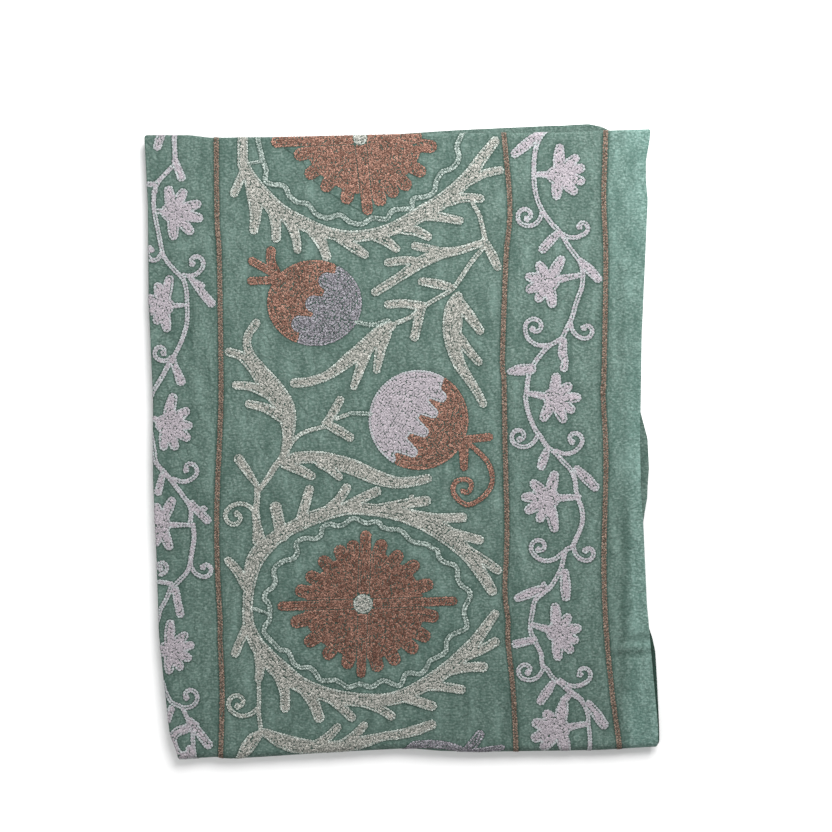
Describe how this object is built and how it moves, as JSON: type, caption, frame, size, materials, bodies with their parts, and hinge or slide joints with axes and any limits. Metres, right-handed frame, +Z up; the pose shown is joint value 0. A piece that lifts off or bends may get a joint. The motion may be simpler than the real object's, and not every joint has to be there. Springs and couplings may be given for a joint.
{
  "type": "folded embroidered cloth",
  "caption": "Green cotton cloth with leaf, fruit and medallion embroidery, folded in half lengthwise and twice across into a flat stack that lies face up.",
  "frame": {"origin": "middle of the folded cloth's footprint, on the surface it lies on", "axes": "+X across the cloth from the long fold to the selvedges, +Y along the cloth towards the far cross fold, +Z up"},
  "size_m": [0.5936, 0.7334, 0.0199],
  "materials": {
    "green_cotton": "matt plain weave with a slight slub",
    "brown_yarn": "matt wool yarn in chain stitch",
    "cream_yarn": "matt wool yarn in chain stitch",
    "lilac_yarn": "matt wool yarn in chain stitch",
    "mint_yarn": "matt wool yarn in chain stitch",
    "grey_yarn": "matt wool yarn in chain stitch"
  },
  "bodies": {
    "root": {"cloth": "green_cotton"}
  },
  "joints": []
}
